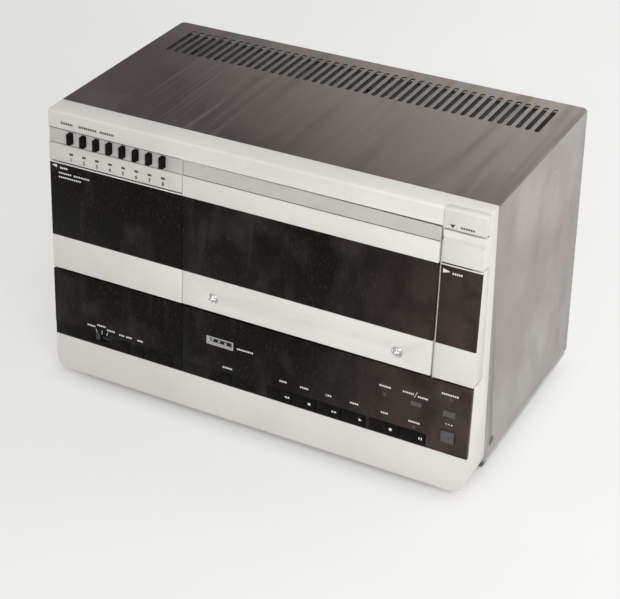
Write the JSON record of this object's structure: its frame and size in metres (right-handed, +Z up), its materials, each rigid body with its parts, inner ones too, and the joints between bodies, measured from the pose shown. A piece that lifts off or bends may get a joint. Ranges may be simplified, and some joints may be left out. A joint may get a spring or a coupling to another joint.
{
  "type": "video cassette recorder",
  "caption": "Upright tape recorder for video cassettes, with a leaning silver front, a tilting cassette lid, compartment doors and dark control panels.",
  "frame": {"origin": "on the floor under the middle of the case", "axes": "+Z up, +X to the right seen from the front, the front faces -Y"},
  "size_m": [0.387, 0.2246, 0.253],
  "materials": {
    "silver_front": "satin silver paint on moulded plastic",
    "silver_lid": "satin silver paint on moulded plastic",
    "dark_key": "black moulded plastic, satin",
    "grey_key": "dark grey ribbed plastic",
    "smoked_panel": "dark smoked acrylic",
    "lamp": "dark red lamp lens",
    "cover_sheet": "fine grey-brown textured paint",
    "side_sheet": "fine grey-brown textured paint",
    "zinc_sheet": "zinc-plated sheet",
    "steel": "bright steel",
    "drum_metal": "machined, fine rings",
    "black_part": "black moulded plastic",
    "foot_rubber": "black rubber",
    "board": "green circuit board with components",
    "core": "varnished steel core with a wound bobbin"
  },
  "bodies": {
    "case": {"front_fascia": "silver_front", "indicator_lamps": "lamp", "top_cover": "cover_sheet", "side_panels": "side_sheet", "rear_panel": "zinc_sheet", "base_plate": "zinc_sheet", "feet": "foot_rubber", "case_screws": "steel", "hinge_pins": "steel", "clock_window": "smoked_panel", "control_window": "smoked_panel", "counter_frame": "black_part", "deck_chassis": "zinc_sheet", "lower_drum": "drum_metal", "tape_guides": "steel", "main_board": "board", "transformer": "core", "tuner_module": "zinc_sheet", "rear_sockets": "steel", "power_inlet": "black_part"},
    "lid": {"cassette_lid": "silver_lid", "cassette_window": "smoked_panel", "lid_screws": "silver_lid", "cassette_holder": "steel"},
    "left_door_body": {"left_door": "silver_lid", "left_door_panel": "smoked_panel"},
    "right_door_body": {"right_door": "silver_lid", "right_door_panel": "smoked_panel"},
    "eject_body": {"eject_button": "silver_lid"},
    "channel_key_1_body": {"channel_key_1": "dark_key"},
    "channel_key_2_body": {"channel_key_2": "dark_key"},
    "channel_key_3_body": {"channel_key_3": "dark_key"},
    "channel_key_4_body": {"channel_key_4": "dark_key"},
    "channel_key_5_body": {"channel_key_5": "dark_key"},
    "channel_key_6_body": {"channel_key_6": "dark_key"},
    "channel_key_7_body": {"channel_key_7": "dark_key"},
    "channel_key_8_body": {"channel_key_8": "dark_key"},
    "mode_switch_body": {"mode_switch": "dark_key"},
    "timer_on_button_body": {"timer_on_button": "dark_key"},
    "day_button_body": {"day_button": "dark_key"},
    "hour_button_body": {"hour_button": "dark_key"},
    "minute_button_body": {"minute_button": "dark_key"},
    "counter_reset_button_body": {"counter_reset_button": "dark_key"},
    "rewind_key_body": {"rewind_key": "dark_key"},
    "stop_key_body": {"stop_key": "dark_key"},
    "forward_key_body": {"forward_key": "dark_key"},
    "play_key_body": {"play_key": "dark_key"},
    "record_key_body": {"record_key": "dark_key"},
    "pause_key_body": {"pause_key": "dark_key"},
    "speed_button_body": {"speed_button": "grey_key"},
    "timer_button_body": {"timer_button": "grey_key"},
    "output_button_body": {"output_button": "grey_key"},
    "upper_drum_body": {"upper_drum": "drum_metal"},
    "capstan_body": {"capstan": "steel"},
    "pinch_roller_body": {"pinch_roller": "black_part"},
    "supply_reel_body": {"supply_reel": "black_part"},
    "takeup_reel_body": {"takeup_reel": "black_part"},
    "tuning_knob_body": {"tuning_knob": "black_part"},
    "tracking_knob_body": {"tracking_knob": "black_part"},
    "counter_wheels_body": {"counter_wheels": "black_part"}
  },
  "joints": [
    {"name": "lid_tilt", "type": "hinge", "parent": "case", "child": "lid", "pos_m": [0.0463, -0.10093, 0.11324], "axis": [1, 0, 0], "range_deg": [0, 28]},
    {"name": "left_door_swing", "type": "hinge", "parent": "case", "child": "left_door_body", "pos_m": [-0.191, -0.08761, 0.16], "axis": [0, 0, -1], "range_deg": [0, 100]},
    {"name": "right_door_swing", "type": "hinge", "parent": "case", "child": "right_door_body", "pos_m": [0.191, -0.08761, 0.16], "axis": [0, 0, 1], "range_deg": [0, 100]},
    {"name": "eject_press", "type": "slide", "parent": "case", "child": "eject_body", "axis": [0, -0.0779, -0.997], "range_m": [0, 0.0025], "stiffness_N_per_m": 300, "springref_m": -0.002},
    {"name": "channel_1_press", "type": "slide", "parent": "case", "child": "channel_key_1_body", "axis": [0, 0.997, -0.0779], "range_m": [0, 0.0025], "stiffness_N_per_m": 200, "springref_m": -0.001},
    {"name": "channel_2_press", "type": "slide", "parent": "case", "child": "channel_key_2_body", "axis": [0, 0.997, -0.0779], "range_m": [0, 0.0025], "stiffness_N_per_m": 200, "springref_m": -0.001},
    {"name": "channel_3_press", "type": "slide", "parent": "case", "child": "channel_key_3_body", "axis": [0, 0.997, -0.0779], "range_m": [0, 0.0025], "stiffness_N_per_m": 200, "springref_m": -0.001},
    {"name": "channel_4_press", "type": "slide", "parent": "case", "child": "channel_key_4_body", "axis": [0, 0.997, -0.0779], "range_m": [0, 0.0025], "stiffness_N_per_m": 200, "springref_m": -0.001},
    {"name": "channel_5_press", "type": "slide", "parent": "case", "child": "channel_key_5_body", "axis": [0, 0.997, -0.0779], "range_m": [0, 0.0025], "stiffness_N_per_m": 200, "springref_m": -0.001},
    {"name": "channel_6_press", "type": "slide", "parent": "case", "child": "channel_key_6_body", "axis": [0, 0.997, -0.0779], "range_m": [0, 0.0025], "stiffness_N_per_m": 200, "springref_m": -0.001},
    {"name": "channel_7_press", "type": "slide", "parent": "case", "child": "channel_key_7_body", "axis": [0, 0.997, -0.0779], "range_m": [0, 0.0025], "stiffness_N_per_m": 200, "springref_m": -0.001},
    {"name": "channel_8_press", "type": "slide", "parent": "case", "child": "channel_key_8_body", "axis": [0, 0.997, -0.0779], "range_m": [0, 0.0025], "stiffness_N_per_m": 200, "springref_m": -0.001},
    {"name": "mode_slide", "type": "slide", "parent": "case", "child": "mode_switch_body", "axis": [1, 0, 0], "range_m": [0, 0.0086]},
    {"name": "timer_on_press", "type": "slide", "parent": "case", "child": "timer_on_button_body", "axis": [0, 0.997, -0.0779], "range_m": [0, 0.0024], "stiffness_N_per_m": 200, "springref_m": -0.001},
    {"name": "day_press", "type": "slide", "parent": "case", "child": "day_button_body", "axis": [0, 0.997, -0.0779], "range_m": [0, 0.0024], "stiffness_N_per_m": 200, "springref_m": -0.001},
    {"name": "hour_press", "type": "slide", "parent": "case", "child": "hour_button_body", "axis": [0, 0.997, -0.0779], "range_m": [0, 0.0024], "stiffness_N_per_m": 200, "springref_m": -0.001},
    {"name": "minute_press", "type": "slide", "parent": "case", "child": "minute_button_body", "axis": [0, 0.997, -0.0779], "range_m": [0, 0.0024], "stiffness_N_per_m": 200, "springref_m": -0.001},
    {"name": "counter_reset_press", "type": "slide", "parent": "case", "child": "counter_reset_button_body", "axis": [0, 0.997, -0.0779], "range_m": [0, 0.0024], "stiffness_N_per_m": 200, "springref_m": -0.001},
    {"name": "rewind_press", "type": "slide", "parent": "case", "child": "rewind_key_body", "axis": [0, 0.997, -0.0779], "range_m": [0, 0.0024], "stiffness_N_per_m": 200, "springref_m": -0.001},
    {"name": "stop_press", "type": "slide", "parent": "case", "child": "stop_key_body", "axis": [0, 0.997, -0.0779], "range_m": [0, 0.0024], "stiffness_N_per_m": 200, "springref_m": -0.001},
    {"name": "forward_press", "type": "slide", "parent": "case", "child": "forward_key_body", "axis": [0, 0.997, -0.0779], "range_m": [0, 0.0024], "stiffness_N_per_m": 200, "springref_m": -0.001},
    {"name": "play_press", "type": "slide", "parent": "case", "child": "play_key_body", "axis": [0, 0.997, -0.0779], "range_m": [0, 0.0024], "stiffness_N_per_m": 200, "springref_m": -0.001},
    {"name": "record_press", "type": "slide", "parent": "case", "child": "record_key_body", "axis": [0, 0.997, -0.0779], "range_m": [0, 0.0024], "stiffness_N_per_m": 200, "springref_m": -0.001},
    {"name": "pause_press", "type": "slide", "parent": "case", "child": "pause_key_body", "axis": [0, 0.997, -0.0779], "range_m": [0, 0.0024], "stiffness_N_per_m": 200, "springref_m": -0.001},
    {"name": "speed_press", "type": "slide", "parent": "case", "child": "speed_button_body", "axis": [0, 0.997, -0.0779], "range_m": [0, 0.0024], "stiffness_N_per_m": 200, "springref_m": -0.001},
    {"name": "timer_press", "type": "slide", "parent": "case", "child": "timer_button_body", "axis": [0, 0.997, -0.0779], "range_m": [0, 0.0024], "stiffness_N_per_m": 200, "springref_m": -0.001},
    {"name": "output_press", "type": "slide", "parent": "case", "child": "output_button_body", "axis": [0, 0.997, -0.0779], "range_m": [0, 0.0024], "stiffness_N_per_m": 200, "springref_m": -0.001},
    {"name": "drum_spin", "type": "hinge", "parent": "case", "child": "upper_drum_body", "pos_m": [0.0463, -0.08711, 0.07947], "axis": [0, 0.997, -0.0779], "continuous": true},
    {"name": "capstan_spin", "type": "hinge", "parent": "case", "child": "capstan_body", "pos_m": [0.1083, -0.06562, 0.09785], "axis": [0, 0.997, -0.0779], "continuous": true},
    {"name": "pinch_spin", "type": "hinge", "parent": "case", "child": "pinch_roller_body", "pos_m": [0.1283, -0.07683, 0.08267], "axis": [0, 0.997, -0.0779], "continuous": true},
    {"name": "supply_spin", "type": "hinge", "parent": "case", "child": "supply_reel_body", "pos_m": [0.0003, -0.06046, 0.16384], "axis": [0, 0.997, -0.0779], "continuous": true},
    {"name": "takeup_spin", "type": "hinge", "parent": "case", "child": "takeup_reel_body", "pos_m": [0.0923, -0.06046, 0.16384], "axis": [0, 0.997, -0.0779], "continuous": true},
    {"name": "counter_spin", "type": "hinge", "parent": "case", "child": "counter_wheels_body", "pos_m": [-0.0293, -0.09688, 0.08284], "axis": [1, 0, 0], "continuous": true},
    {"name": "tuning_turn", "type": "hinge", "parent": "case", "child": "tuning_knob_body", "pos_m": [-0.0996, -0.08361, 0.1705], "axis": [0, -1, 0], "range_deg": [-150, 150]},
    {"name": "tracking_turn", "type": "hinge", "parent": "case", "child": "tracking_knob_body", "pos_m": [0.1741, -0.08361, 0.1705], "axis": [0, -1, 0], "range_deg": [-140, 140]}
  ],
  "couplings": [
    {"joint": "counter_spin", "follows": "takeup_spin", "ratio": 0.5}
  ]
}
